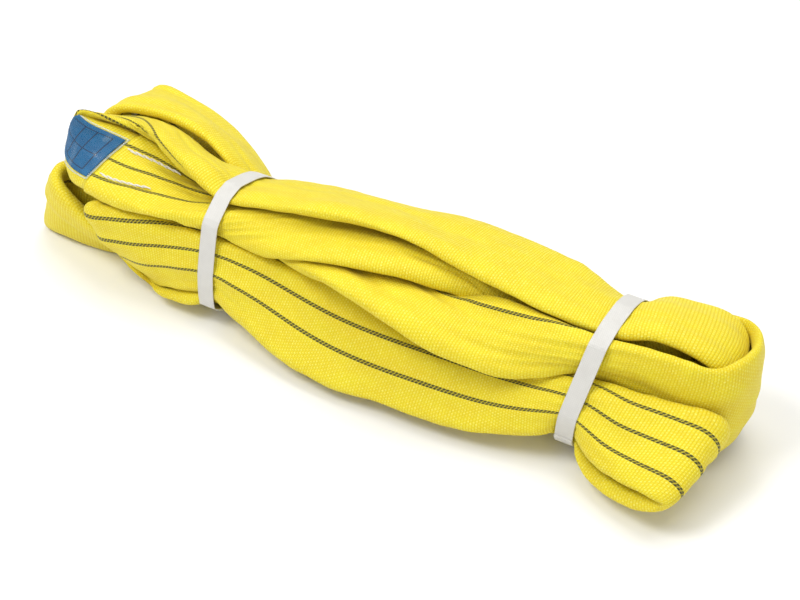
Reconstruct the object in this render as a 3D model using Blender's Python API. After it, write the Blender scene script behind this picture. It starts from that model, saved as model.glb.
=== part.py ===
"""Round sling for lifting, folded into a hank and tied with two welded straps.

An endless core of yarn runs inside a woven sleeve.  The loop is folded three times, so eight
passes lie side by side.  +X runs along the hank, -Y is its front and Z = 0 is the floor.
Rows of sizes are in millimetres and faces are turned in degrees from +Z toward -Y.
"""
import math

import bmesh
import bpy
import numpy as np

MM = 0.001

# Sleeve and core
SLEEVE_WALL = 1.2
CORE_CLEARANCE = 0.7
SEAM_OVERLAP = 44.0
HEM_CLEARANCE = 0.35

# Section of a pass: shares of its width and thickness at the octagon's corners
FLAT_SHARE = 0.31
SIDE_SHARE = 0.22

# Ring spacing along the route
RING_SPACING = 34.0
RING_TURN = math.radians(27.0)

# Straps
STRAP_WIDTH = 12.0
STRAP_THICKNESS = 0.8
STRAP_CLEARANCE = 0.6
STRAP_SIDES = 36
STRAP_REACH = 8.0
WELD_SHARE = (0.56, 0.66)
STRAPS = {
    "tie_band_left": (-124.0, 0.0),
    "tie_band_right": (142.0, 0.15),
}

# Seven passes stand round one inner pass inside each strap
HUB_HEIGHT = 44.0
HUB_RADIUS = 31.5

# Seam thread, label and its clear pocket, on the outer face of the pass that carries the seam
THREAD_ROWS = {"seam_stitching_upper": -0.24, "seam_stitching_lower": 0.24}
THREAD_WIDTH = 1.2
THREAD_THICKNESS = 0.6
LABEL_WIDTH = 35.0
LABEL_LENGTH = 38.0
LABEL_THICKNESS = 0.4
LABEL_SETBACK = 2.5
FILM_MARGIN = 1.6
FILM_WALL = 0.3
FILM_LIFT = 0.9
SURFACE_CLEARANCE = 0.35


def hub(x, turn, width, thickness, lift=0.0):
    """A pass held at one of the seven places inside a strap."""
    angle = math.radians(turn)
    y = -HUB_RADIUS * math.sin(angle)
    z = HUB_HEIGHT + HUB_RADIUS * math.cos(angle) + lift
    return (x, y, z, turn, width, thickness)


# Passes in the order the loop runs.  Each row: x, y, z, face, width, thickness.
PASSES = [
    [(196, -45, 36, 68, 32, 14), (170, -41, 39, 78, 29, 14), hub(142, 84, 25, 18), (100, -39, 34, 60, 38, 16),
     (50, -38, 34, 54, 42, 16), (-40, -39, 34, 58, 42, 16), (-85, -34, 40, 68, 37, 16),
     hub(-124, 84, 25, 18), (-165, -30, 41, 94, 30, 17), (-190, -27, 41, 104, 30, 15)],
    [(-190, 4, 46, -84, 30, 15), (-165, 4, 46, -72, 26, 16), (-124, 4, 43, -40, 24, 20), (-85, -2, 51, 20, 25, 18),
     (-40, -11, 63, 8, 32, 15), (10, -17, 66, 10, 34, 15), (55, -25, 65, 20, 32, 15), (100, -26, 66, 34, 29, 16),
     hub(142, 35, 24, 17), (171, -11, 60, 76, 34, 14), (202, -11, 48, 84, 44, 15)],
    [(200, 53, 40, -95, 42, 15), (170, 46, 37, -100, 32, 16), hub(142, -115, 25, 17), (100, 41, 33, -98, 34, 17),
     (40, 44, 33, -92, 36, 16), (-30, 44, 33, -92, 36, 16), (-85, 41, 33, -98, 32, 16),
     hub(-124, -115, 25, 18), (-165, 46, 34, -104, 30, 17), (-198, 53, 40, -100, 30, 16)],
    [(-208, 60, 82, -44, 32, 16), (-165, 51, 76, -46, 30, 17), hub(-124, -62, 25, 18), (-85, 35, 67, -52, 32, 17),
     (-30, 33, 70, -48, 35, 16), (40, 33, 70, -48, 35, 16), (100, 33, 67, -54, 30, 17),
     hub(142, -62, 25, 18), (166, 32, 60, -82, 24, 15)],
    [(166, 7, 60, 88, 24, 16), (142, 1, 44, 60, 24, 18), (100, 1, 58, 36, 25, 16), (55, 4, 79, 6, 24, 13),
     (5, -4, 82, 2, 26, 12), (-40, -10, 81, 8, 26, 14), (-85, -15, 75, 30, 25, 16),
     hub(-124, 34, 25, 18), (-165, -15, 74, 62, 28, 15), (-212, -10, 74, 96, 32, 15)],
    [(-214, 22, 84, -50, 32, 15), (-168, 17, 92, -8, 31, 15), hub(-124, -14, 24, 17, 2), (-85, 11, 87, -4, 32, 15),
     (-40, 14, 97, -2, 36, 14), (10, 15, 98, 0, 38, 14), (55, 15, 96, 0, 38, 14), (100, 12, 89, 0, 32, 16),
     hub(142, -14, 24, 17, 2), (170, 19, 85, -8, 33, 15), (198, 22, 82, 4, 36, 14)],
    [(198, 24, 12, 180, 34, 15), (168, 20, 11, 180, 30, 17), hub(142, -165, 24, 18), (95, 17, 9, 180, 32, 18),
     (40, 17, 9, 180, 32, 18), (-30, 17, 9, 180, 32, 18), (-80, 17, 9, 180, 32, 18),
     hub(-124, -165, 24, 18), (-165, 21, 11, 180, 30, 17), (-203, 20, 11, 178, 34, 16)],
    [(-222, -25, 16, 146, 32, 15), (-192, -23, 12, 166, 32, 15), (-160, -19, 10, 178, 30, 16),
     hub(-124, 134, 24, 18), (-90, -20, 9, 178, 31, 17), (-30, -21, 9, 180, 34, 18), (40, -21, 9, 180, 34, 18),
     (104, -20, 9, 178, 31, 17), hub(142, 134, 24, 18), (166, -31, 11, 174, 28, 14), (198, -44, 10, 176, 32, 14)],
]

# Turn after each pass: reach beyond the pass ends, sideways and upward lean, width, thickness
TURNS = [
    (28, -1, -6, 26, 14),
    (30, 1, 0, 45, 14),
    (38, 4, 4, 30, 15),
    (16, 0, 0, 22, 14),
    (36, -12, -12, 40, 13),
    (13, 0, 0, 34, 12),
    (52, -6, 18, 34, 14),
    (20, -2, 0, 34, 11),
]
SEAM_PASS = 4
SEAM_START_X = -186.0


def face_normal(turn):
    angle = math.radians(turn)
    return np.array([0.0, -math.sin(angle), math.cos(angle)])


def pass_rows(rows):
    """Rows as one array: position, outward normal, width and thickness."""
    return [np.hstack([row[:3], face_normal(row[3]), row[4:]]) for row in rows]


def turn_rows(before, after, turn):
    """Three points on the half ellipse that joins two pass ends."""
    reach, lean_y, lean_z, width, thickness = turn
    start, end = before[:3], after[:3]
    middle = (start + end) / 2.0
    side = (start - end) / 2.0
    outward = np.array([math.copysign(reach, middle[0]), lean_y, lean_z])
    rows = []
    for angle in (45.0, 90.0, 135.0):
        c = math.cos(math.radians(angle))
        s = math.sin(math.radians(angle))
        normal = c * side / np.linalg.norm(side) + s * outward / reach
        rows.append(np.hstack([middle + c * side + s * outward, normal, width, thickness]))
    return rows


def route_knots():
    """All control rows of the closed route, and the index at which each pass starts."""
    knots = []
    starts = []
    for number, rows in enumerate(PASSES):
        starts.append(len(knots))
        lane = pass_rows(rows)
        following = pass_rows(PASSES[(number + 1) % len(PASSES)])
        knots.extend(lane)
        knots.extend(turn_rows(lane[-1], following[0], TURNS[number]))
    return np.array(knots), starts


def blend(low, high, t_low, t_high, t):
    return ((t_high - t) * low + (t - t_low) * high) / (t_high - t_low)


def smooth_route(knots, steps=24):
    """Closed centripetal Catmull-Rom curve through the knots."""
    count = len(knots)
    rows = []
    for index in range(count):
        p = [knots[(index + k - 1) % count] for k in range(4)]
        t = [0.0]
        for k in range(3):
            t.append(t[-1] + math.sqrt(np.linalg.norm(p[k + 1][:3] - p[k][:3])))
        for step in range(steps):
            at = t[1] + (t[2] - t[1]) * step / steps
            first = [blend(p[k], p[k + 1], t[k], t[k + 1], at) for k in range(3)]
            second = [blend(first[k], first[k + 1], t[k], t[k + 2], at) for k in range(2)]
            rows.append(blend(second[0], second[1], t[1], t[2], at))
    return np.array(rows)


def arc_lengths(points):
    steps = np.linalg.norm(np.roll(points, -1, axis=0) - points, axis=1)
    return np.concatenate([[0.0], np.cumsum(steps)])


def resample(rows, at, marks):
    closed = np.vstack([rows, rows[:1]])
    return np.stack([np.interp(at, marks, closed[:, k]) for k in range(closed.shape[1])], axis=1)


def unit(vectors):
    return vectors / np.linalg.norm(vectors, axis=1)[:, None]


def ring_places(dense):
    """Arc lengths of the rings, closer together where the route bends."""
    marks = arc_lengths(dense[:, :3])
    tangent = unit(np.roll(dense[:, :3], -1, axis=0) - np.roll(dense[:, :3], 1, axis=0))
    turning = np.arccos(np.clip((tangent * np.roll(tangent, -1, axis=0)).sum(axis=1), -1.0, 1.0))
    cost = np.diff(marks) / RING_SPACING + turning / RING_TURN
    total = np.concatenate([[0.0], np.cumsum(cost)])
    count = int(round(total[-1]))
    return np.interp(np.arange(count) * total[-1] / count, total, marks), marks


class Route:
    """The centre line with its frame: u runs across a pass, v points out of its face."""

    def __init__(self):
        knots, _ = route_knots()
        self.rows = smooth_route(knots)
        self.rings, self.marks = ring_places(self.rows)
        self.length = self.marks[-1]

    def at(self, places):
        """Centres, u, v, widths and thicknesses at the given arc lengths."""
        places = np.mod(places, self.length)
        rows = resample(self.rows, places, self.marks)
        ahead = resample(self.rows, np.mod(places + 1.5, self.length), self.marks)
        behind = resample(self.rows, np.mod(places - 1.5, self.length), self.marks)
        tangent = unit(ahead[:, :3] - behind[:, :3])
        v = rows[:, 3:6] - (rows[:, 3:6] * tangent).sum(axis=1)[:, None] * tangent
        v = unit(v)
        return rows[:, :3], np.cross(tangent, v), v, rows[:, 6], rows[:, 7]

    def ring_near(self, pass_number, x):
        """Number of the ring at which a pass comes nearest to a given x."""
        knots, starts = route_knots()
        per_knot = len(self.rows) // len(knots)
        first = starts[pass_number] * per_knot
        last = first + (len(PASSES[pass_number]) - 1) * per_knot
        nearest = np.argmin(np.abs(self.rows[first:last, 0] - x))
        return int(np.argmin(np.abs(self.rings - self.marks[first + nearest])))

    def ring_place(self, number):
        """Arc length of a ring, counted on past the closing point."""
        turns, index = divmod(number, len(self.rings))
        return self.rings[index] + turns * self.length

    def ring_after(self, number, distance):
        """Number of the last ring within a distance after another."""
        start = self.ring_place(number)
        following = number
        while self.ring_place(following + 1) < start + distance:
            following += 1
        return following


def octagon(width, thickness):
    """Corners of a pass's section, as offsets along u and v."""
    flat, side = FLAT_SHARE * width, SIDE_SHARE * thickness
    half_w, half_t = width / 2.0, thickness / 2.0
    corners = [(half_w, -side), (half_w, side), (flat, half_t), (-flat, half_t)]
    corners += [(-half_w, side), (-half_w, -side), (-flat, -half_t), (flat, -half_t)]
    return corners


def rectangle(u_low, u_high, v_low, v_high):
    return [(u_high, v_low), (u_high, v_high), (u_low, v_high), (u_low, v_low)]


def sweep(route, places, section, floor=0.0):
    """Rings of points: section(place index, width, thickness) gives each ring's corners."""
    centre, u, v, width, thickness = route.at(places)
    rings = []
    for k in range(len(places)):
        corners = np.array(section(k, width[k], thickness[k]))
        ring = centre[k] + corners[:, :1] * u[k] + corners[:, 1:] * v[k]
        ring[:, 2] = np.maximum(ring[:, 2], floor)
        rings.append(ring)
    return rings


def add_ring(mesh, ring):
    return [mesh.verts.new(point * MM) for point in ring]


def bridge(mesh, first, second):
    """Triangles between two rings, every quad split the same way so nested walls stay apart."""
    count = len(first)
    for k in range(count):
        following = (k + 1) % count
        mesh.faces.new((first[k], first[following], second[following]))
        mesh.faces.new((first[k], second[following], second[k]))


def skin(mesh, rings, closed):
    """Quads between neighbouring rings."""
    loops = [add_ring(mesh, ring) for ring in rings]
    last = len(loops) if closed else len(loops) - 1
    for k in range(last):
        bridge(mesh, loops[k], loops[(k + 1) % len(loops)])
    return loops


def finish(mesh, name, colour, roughness):
    """Turn faces outward and put the mesh in the scene with its material."""
    bmesh.ops.recalc_face_normals(mesh, faces=mesh.faces)
    if mesh.calc_volume(signed=True) < 0.0:
        bmesh.ops.reverse_faces(mesh, faces=mesh.faces)
    data = bpy.data.meshes.new(name)
    mesh.to_mesh(data)
    mesh.free()
    material = bpy.data.materials.new(name)
    material.use_nodes = True
    shader = material.node_tree.nodes["Principled BSDF"]
    shader.inputs["Base Color"].default_value = (*colour, 1.0)
    shader.inputs["Roughness"].default_value = roughness
    data.materials.append(material)
    data.shade_smooth()
    data.set_sharp_from_angle(angle=math.radians(35.0))
    part = bpy.data.objects.new(name, data)
    bpy.context.scene.collection.objects.link(part)
    return part


def tube(outer, inner):
    """A wall between two stacks of rings, open at both ends."""
    mesh = bmesh.new()
    outer_loops = skin(mesh, outer, closed=False)
    inner_loops = skin(mesh, inner, closed=False)
    for end in (0, -1):
        bridge(mesh, outer_loops[end], inner_loops[end])
    return mesh


def bar(rings):
    """A solid stack of rings with flat ends."""
    mesh = bmesh.new()
    loops = skin(mesh, rings, closed=False)
    mesh.faces.new(loops[0])
    mesh.faces.new(loops[-1])
    return mesh


def build_sleeve(route, seam, hem):
    """The woven tube.  Its hemmed end laps over its plain end between the rings seam and hem."""
    around = len(route.rings)
    numbers = np.arange(seam, hem + around + 1)
    places = np.array([route.ring_place(number) for number in numbers])
    lift = np.where(numbers >= seam + around, SLEEVE_WALL + HEM_CLEARANCE, 0.0)

    def outer(k, width, thickness):
        return octagon(width + 2 * lift[k], thickness + 2 * lift[k])

    def inner(k, width, thickness):
        grow = 2 * (lift[k] - SLEEVE_WALL)
        return octagon(width + grow, thickness + grow)

    mesh = tube(sweep(route, places, outer), sweep(route, places, inner, SLEEVE_WALL))
    return finish(mesh, "cover_sleeve", (0.93, 0.72, 0.02), 0.85)


def build_core(route):
    inset = 2 * (SLEEVE_WALL + CORE_CLEARANCE)

    def section(_, width, thickness):
        return octagon(width - inset, thickness - inset)

    mesh = bmesh.new()
    skin(mesh, sweep(route, route.rings, section, inset / 2), closed=True)
    return finish(mesh, "core_yarn_hank", (0.85, 0.83, 0.76), 0.8)


def face_strip(route, first, last, section):
    """Rings of a strip that lies on the outer face between two places."""
    between = np.concatenate([route.rings, route.rings + route.length])
    between = between[(between > first) & (between < last)]
    places = np.concatenate([[first], between, [last]])
    return sweep(route, places, section)


def build_threads(route, seam, hem):
    lift = SLEEVE_WALL + HEM_CLEARANCE + SURFACE_CLEARANCE
    for name, share in THREAD_ROWS.items():

        def section(_, width, thickness, share=share):
            u = share * width
            v = thickness / 2.0 + lift
            return rectangle(u - THREAD_WIDTH / 2, u + THREAD_WIDTH / 2, v, v + THREAD_THICKNESS)

        mesh = bar(face_strip(route, route.ring_place(seam), route.ring_place(hem), section))
        finish(mesh, name, (0.85, 0.84, 0.8), 0.7)


def build_label(route, hem):
    """The label in its film pocket, round the turn past the hem."""
    start = route.ring_place(hem) + LABEL_SETBACK
    half = LABEL_WIDTH / 2.0

    def pocket(_, width, thickness):
        v = thickness / 2.0 + FILM_LIFT
        high = v + LABEL_THICKNESS + 2 * (FILM_WALL + SURFACE_CLEARANCE)
        return rectangle(-half - FILM_MARGIN, half + FILM_MARGIN, v, high)

    def hollow(_, width, thickness):
        v = thickness / 2.0 + FILM_LIFT + FILM_WALL
        edge = half + FILM_MARGIN - FILM_WALL
        return rectangle(-edge, edge, v, v + LABEL_THICKNESS + 2 * SURFACE_CLEARANCE)

    def sheet(_, width, thickness):
        v = thickness / 2.0 + FILM_LIFT + FILM_WALL + SURFACE_CLEARANCE
        return rectangle(-half, half, v, v + LABEL_THICKNESS)

    last = start + LABEL_LENGTH
    film = tube(face_strip(route, start, last, pocket), face_strip(route, start, last, hollow))
    finish(film, "label_film_pocket", (0.85, 0.88, 0.9), 0.15)
    label = bar(face_strip(route, start, last, sheet))
    finish(label, "identification_label", (0.02, 0.2, 0.55), 0.4)


def support_polygon(points, offsets):
    """Corners where neighbouring tangent lines of a point set meet, each line moved outward."""
    count = len(offsets)
    angles = np.arange(count) * 2.0 * math.pi / count
    normals = np.stack([np.cos(angles), np.sin(angles)], axis=1)
    reach = (points @ normals.T).max(axis=0) + offsets
    corners = []
    for k in range(count):
        following = (k + 1) % count
        pair = np.array([normals[k], normals[following]])
        corners.append(np.linalg.solve(pair, [reach[k], reach[following]]))
    return np.array(corners)


def points_along_edges(part, samples=12):
    """Points spread along every edge of a mesh."""
    corners = mesh_points(part)
    ends = np.empty(len(part.data.edges) * 2, dtype=np.int32)
    part.data.edges.foreach_get("vertices", ends)
    first, second = corners[ends[0::2]], corners[ends[1::2]]
    shares = np.linspace(0.0, 1.0, samples)[:, None, None]
    return (first + shares * (second - first)).reshape(-1, 3)


def build_strap(name, sleeve_points, place, lean):
    """A band pulled tight round everything that passes through it, its ends lapped and welded."""
    from_band = sleeve_points[:, 0] - place - lean * (sleeve_points[:, 2] - HUB_HEIGHT)
    near = sleeve_points[np.abs(from_band) < STRAP_REACH][:, 1:]
    inner = support_polygon(near, np.full(STRAP_SIDES, STRAP_CLEARANCE))
    thickness = np.full(STRAP_SIDES, STRAP_CLEARANCE + STRAP_THICKNESS)
    first, last = (int(share * STRAP_SIDES) for share in WELD_SHARE)
    thickness[first:last] += STRAP_THICKNESS
    outer = support_polygon(near, thickness)
    rings = []
    for outline, side in ((outer, -0.5), (outer, 0.5), (inner, 0.5), (inner, -0.5)):
        x = place + lean * (outline[:, 1] - HUB_HEIGHT) + side * STRAP_WIDTH
        rings.append(np.column_stack([x, outline]))
    mesh = bmesh.new()
    skin(mesh, rings, closed=True)
    return finish(mesh, name, (0.8, 0.8, 0.77), 0.6)


def clear_scene():
    for thing in list(bpy.data.objects):
        bpy.data.objects.remove(thing, do_unlink=True)


def mesh_points(part):
    points = np.empty(len(part.data.vertices) * 3)
    part.data.vertices.foreach_get("co", points)
    return points.reshape(-1, 3) / MM


def centre_on_floor(parts):
    """Stand the hank on Z = 0 with the middle of its box over the origin."""
    points = np.vstack([mesh_points(part) for part in parts])
    low, high = points.min(axis=0), points.max(axis=0)
    shift = np.array([-(low[0] + high[0]) / 2, -(low[1] + high[1]) / 2, -low[2]]) * MM
    for part in parts:
        for vertex in part.data.vertices:
            vertex.co += type(vertex.co)(shift)


def main():
    clear_scene()
    route = Route()
    seam = route.ring_near(SEAM_PASS, SEAM_START_X)
    hem = route.ring_after(seam, SEAM_OVERLAP)
    sleeve = build_sleeve(route, seam, hem)
    build_core(route)
    build_threads(route, seam, hem)
    build_label(route, hem)
    sleeve_points = points_along_edges(sleeve)
    for name, (place, lean) in STRAPS.items():
        build_strap(name, sleeve_points, place, lean)
    centre_on_floor([thing for thing in bpy.data.objects if thing.type == "MESH"])


if __name__ == "__main__":
    main()
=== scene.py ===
"""Looks for the round sling: its woven cover is a cloth tube relaxed inside the tied hank."""
import math

import bmesh
import bpy
import numpy as np
from mathutils import Matrix, Vector

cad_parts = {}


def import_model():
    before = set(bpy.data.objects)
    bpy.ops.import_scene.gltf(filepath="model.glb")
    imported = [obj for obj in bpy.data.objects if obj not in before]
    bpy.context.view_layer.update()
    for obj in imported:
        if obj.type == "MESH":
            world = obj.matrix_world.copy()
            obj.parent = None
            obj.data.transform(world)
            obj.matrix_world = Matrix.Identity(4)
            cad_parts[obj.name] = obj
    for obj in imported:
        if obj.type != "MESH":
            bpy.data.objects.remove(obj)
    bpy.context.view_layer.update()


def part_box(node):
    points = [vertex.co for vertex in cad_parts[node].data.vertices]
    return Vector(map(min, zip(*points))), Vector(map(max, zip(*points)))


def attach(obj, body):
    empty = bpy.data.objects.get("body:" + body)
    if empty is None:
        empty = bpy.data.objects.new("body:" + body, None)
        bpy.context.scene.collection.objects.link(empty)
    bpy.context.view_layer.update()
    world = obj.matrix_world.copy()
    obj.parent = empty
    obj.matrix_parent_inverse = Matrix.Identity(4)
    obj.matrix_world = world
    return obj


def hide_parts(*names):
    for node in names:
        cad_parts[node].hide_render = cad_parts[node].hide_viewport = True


MM = 0.001

# ---- route of the passes (same rows as the CAD)
HUB_HEIGHT = 44.0
HUB_RADIUS = 31.5
RING_SPACING = 34.0
RING_TURN = math.radians(27.0)
FLAT_SHARE = 0.31
SIDE_SHARE = 0.22


def hub(x, turn, width, thickness, lift=0.0):
    """A pass held at one of the seven places inside a strap."""
    angle = math.radians(turn)
    y = -HUB_RADIUS * math.sin(angle)
    z = HUB_HEIGHT + HUB_RADIUS * math.cos(angle) + lift
    return (x, y, z, turn, width, thickness)


PASSES = [
    [(196, -45, 36, 68, 32, 14), (170, -41, 39, 78, 29, 14), hub(142, 84, 25, 18),
     (100, -39, 34, 60, 38, 16), (50, -38, 34, 54, 42, 16), (-40, -39, 34, 58, 42, 16),
     (-85, -34, 40, 68, 37, 16), hub(-124, 84, 25, 18), (-165, -30, 41, 94, 30, 17),
     (-190, -27, 41, 104, 30, 15)],
    [(-190, 4, 46, -84, 30, 15), (-165, 4, 46, -72, 26, 16), (-124, 4, 43, -40, 24, 20),
     (-85, -2, 51, 20, 25, 18), (-40, -11, 63, 8, 32, 15), (10, -17, 66, 10, 34, 15),
     (55, -25, 65, 20, 32, 15), (100, -26, 66, 34, 29, 16), hub(142, 35, 24, 17),
     (171, -11, 60, 76, 34, 14), (202, -11, 48, 84, 44, 15)],
    [(200, 53, 40, -95, 42, 15), (170, 46, 37, -100, 32, 16), hub(142, -115, 25, 17),
     (100, 41, 33, -98, 34, 17), (40, 44, 33, -92, 36, 16), (-30, 44, 33, -92, 36, 16),
     (-85, 41, 33, -98, 32, 16), hub(-124, -115, 25, 18), (-165, 46, 34, -104, 30, 17),
     (-198, 53, 40, -100, 30, 16)],
    [(-208, 60, 82, -44, 32, 16), (-165, 51, 76, -46, 30, 17), hub(-124, -62, 25, 18),
     (-85, 35, 67, -52, 32, 17), (-30, 33, 70, -48, 35, 16), (40, 33, 70, -48, 35, 16),
     (100, 33, 67, -54, 30, 17), hub(142, -62, 25, 18), (166, 32, 60, -82, 24, 15)],
    [(166, 7, 60, 88, 24, 16), (142, 1, 44, 60, 24, 18), (100, 1, 58, 36, 25, 16), (55, 4, 79, 6, 24, 13),
     (5, -4, 82, 2, 26, 12), (-40, -10, 81, 8, 26, 14), (-85, -15, 75, 30, 25, 16), hub(-124, 34, 25, 18),
     (-165, -15, 74, 62, 28, 15), (-212, -10, 74, 96, 32, 15)],
    [(-214, 22, 84, -50, 32, 15), (-168, 17, 92, -8, 31, 15), hub(-124, -14, 24, 17, 2),
     (-85, 11, 87, -4, 32, 15), (-40, 14, 97, -2, 36, 14), (10, 15, 98, 0, 38, 14),
     (55, 15, 96, 0, 38, 14), (100, 12, 89, 0, 32, 16), hub(142, -14, 24, 17, 2),
     (170, 19, 85, -8, 33, 15), (198, 22, 82, 4, 36, 14)],
    [(198, 24, 12, 180, 34, 15), (168, 20, 11, 180, 30, 17), hub(142, -165, 24, 18),
     (95, 17, 9, 180, 32, 18), (40, 17, 9, 180, 32, 18), (-30, 17, 9, 180, 32, 18),
     (-80, 17, 9, 180, 32, 18), hub(-124, -165, 24, 18), (-165, 21, 11, 180, 30, 17),
     (-203, 20, 11, 178, 34, 16)],
    [(-222, -25, 16, 146, 32, 15), (-192, -23, 12, 166, 32, 15), (-160, -19, 10, 178, 30, 16),
     hub(-124, 134, 24, 18), (-90, -20, 9, 178, 31, 17), (-30, -21, 9, 180, 34, 18),
     (40, -21, 9, 180, 34, 18), (104, -20, 9, 178, 31, 17), hub(142, 134, 24, 18),
     (166, -31, 11, 174, 28, 14), (198, -44, 10, 176, 32, 14)],
]
TURNS = [
    (28, -1, -6, 26, 14), (30, 1, 0, 45, 14), (38, 4, 4, 30, 15), (16, 0, 0, 22, 14),
    (36, -12, -12, 40, 13), (13, 0, 0, 34, 12), (52, -6, 18, 34, 14), (20, -2, 0, 34, 11),
]
STRAPS = {"tie_band_left": (-124.0, 0.0), "tie_band_right": (142.0, 0.15)}
SEAM_PASS = 4
SEAM_START_X = -186.0
SEAM_OVERLAP = 44.0


def face_normal(turn):
    angle = math.radians(turn)
    return np.array([0.0, -math.sin(angle), math.cos(angle)])


def pass_rows(rows):
    return [np.hstack([row[:3], face_normal(row[3]), row[4:]]) for row in rows]


def turn_rows(before, after, turn):
    reach, lean_y, lean_z, width, thickness = turn
    start, end = before[:3], after[:3]
    middle = (start + end) / 2.0
    side = (start - end) / 2.0
    outward = np.array([math.copysign(reach, middle[0]), lean_y, lean_z])
    rows = []
    for angle in (45.0, 90.0, 135.0):
        c = math.cos(math.radians(angle))
        s = math.sin(math.radians(angle))
        normal = c * side / np.linalg.norm(side) + s * outward / reach
        rows.append(np.hstack([middle + c * side + s * outward, normal, width, thickness]))
    return rows


def route_knots():
    knots = []
    starts = []
    for number, rows in enumerate(PASSES):
        starts.append(len(knots))
        lane = pass_rows(rows)
        following = pass_rows(PASSES[(number + 1) % len(PASSES)])
        knots.extend(lane)
        knots.extend(turn_rows(lane[-1], following[0], TURNS[number]))
    return np.array(knots), starts


def blend(low, high, t_low, t_high, t):
    return ((t_high - t) * low + (t - t_low) * high) / (t_high - t_low)


def smooth_route(knots, steps=24):
    """Closed centripetal Catmull-Rom curve through the knots."""
    count = len(knots)
    rows = []
    for index in range(count):
        p = [knots[(index + k - 1) % count] for k in range(4)]
        t = [0.0]
        for k in range(3):
            t.append(t[-1] + math.sqrt(np.linalg.norm(p[k + 1][:3] - p[k][:3])))
        for step in range(steps):
            at = t[1] + (t[2] - t[1]) * step / steps
            first = [blend(p[k], p[k + 1], t[k], t[k + 1], at) for k in range(3)]
            second = [blend(first[k], first[k + 1], t[k], t[k + 2], at) for k in range(2)]
            rows.append(blend(second[0], second[1], t[1], t[2], at))
    return np.array(rows)


def ease(share):
    """A smooth ramp from 0 to 1."""
    return share * share * (3.0 - 2.0 * share)


def unit(vectors):
    return vectors / np.maximum(np.linalg.norm(vectors, axis=-1, keepdims=True), 1e-9)


def arc_lengths(points):
    steps = np.linalg.norm(np.roll(points, -1, axis=0) - points, axis=1)
    return np.concatenate([[0.0], np.cumsum(steps)])


class Route:
    """The centre line with its frame: u runs across a pass, v points out of its face."""

    def __init__(self):
        self.knots, self.starts = route_knots()
        self.rows = smooth_route(self.knots)
        self.per_knot = len(self.rows) // len(self.knots)
        self.marks = arc_lengths(self.rows[:, :3])
        self.length = self.marks[-1]

    def sample(self, places):
        closed = np.vstack([self.rows, self.rows[:1]])
        places = np.mod(places, self.length)
        return np.stack([np.interp(places, self.marks, closed[:, k]) for k in range(8)], axis=1)

    def at(self, places):
        rows = self.sample(places)
        tangent = unit(self.sample(places + 1.5)[:, :3] - self.sample(places - 1.5)[:, :3])
        v = unit(rows[:, 3:6] - (rows[:, 3:6] * tangent).sum(axis=1)[:, None] * tangent)
        return rows[:, :3], np.cross(tangent, v), v, rows[:, 6], rows[:, 7]

    def place_near(self, pass_number, x):
        """Arc length at which a pass comes nearest to a given x."""
        first = self.starts[pass_number] * self.per_knot
        last = first + (len(PASSES[pass_number]) - 1) * self.per_knot
        return self.marks[first + int(np.argmin(np.abs(self.rows[first:last, 0] - x)))]

    def turn_place(self, number):
        """Arc length at the middle of the turn after a pass."""
        return self.marks[(self.starts[number] + len(PASSES[number]) + 1) * self.per_knot]

    def cad_rings(self):
        """Arc lengths of the CAD sleeve's rings."""
        dense = self.rows[:, :3]
        tangent = unit(np.roll(dense, -1, axis=0) - np.roll(dense, 1, axis=0))
        turning = np.arccos(np.clip((tangent * np.roll(tangent, -1, axis=0)).sum(axis=1), -1.0, 1.0))
        cost = np.diff(self.marks) / RING_SPACING + turning / RING_TURN
        total = np.concatenate([[0.0], np.cumsum(cost)])
        count = int(round(total[-1]))
        return np.interp(np.arange(count) * total[-1] / count, total, self.marks)


def cad_shift(route):
    """How far the CAD moved the route when it centred the model, from the CAD sleeve's own box."""
    centre, u, v, width, thickness = route.at(route.cad_rings())
    flat, side = FLAT_SHARE * width, SIDE_SHARE * thickness
    half_w, half_t = width / 2.0, thickness / 2.0
    corners = []
    for a, b in ((half_w, side), (flat, half_t)):
        for i, j in ((1, 1), (1, -1), (-1, 1), (-1, -1)):
            corners.append(centre + (i * a)[:, None] * u + (j * b)[:, None] * v)
    corners = np.concatenate(corners)
    low = np.array(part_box("cover_sleeve")[0]) / MM
    shift = low - corners.min(axis=0)
    shift[2] = 0.0
    return shift


# ---- cloth simulation of the cover
RINGS = 640
AROUND = 32
GIRTH = 136.0
STRAP_RADIUS = 45.5
STRAP_GRIP = 9.0
STRAP_FADE = 3.0
GATHER = 0.1
HANK_AXIS = (4.0, 48.0)
HANK_ENDS = 200.0
LOOPS_FROM = 150.0
LOOPS_RAMP = 40.0
SINK = 0.03
FLOOR_GAP = 0.6
START_GAP = 0.8
START_NOISE = 0.5
SETTLE = 0.4
PAIR_EVERY = 3
HOLD = (0.06, 0.3)
FILL_AREA = (600.0, 80.0)
# Cloth points are paired within a reach and some rings apart; they meet if nearly in line and not too deep
PAIR_REACH = 9.0
PAIR_RINGS = 7
PAIR_ASIDE = 5.0
PAIR_DEEPEST = -7.5
CLOTH_GAP = 1.0
FREE_ROOM = 4.0
STRAIGHT_REACH = 40.0
# Loose cloth stands a little off the middle line: turn, how far past its middle, reach, offset x, y, z, roll
LOOP_SLACK = [
    (4, 0, 34, -8, 4, 18, 0), (4, -10, 50, 0, 0, 0, -92), (4, 42, 34, 6, 4, 5, 0), (1, 0, 34, -4, 0, 4, 0),
    (5, -30, 26, 10, 4, -5, 0), (5, 50, 30, 4, -4, 0, 0), (7, 0, 34, 7, 5, 14, 0),
    (6, 0, 34, -16, 0, 0, 0), (6, 60, 40, 0, 14, -2, 0), (0, -10, 50, 0, -9, -6, 0),
    (2, 10, 40, -12, -6, 8, 0),
]
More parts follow.
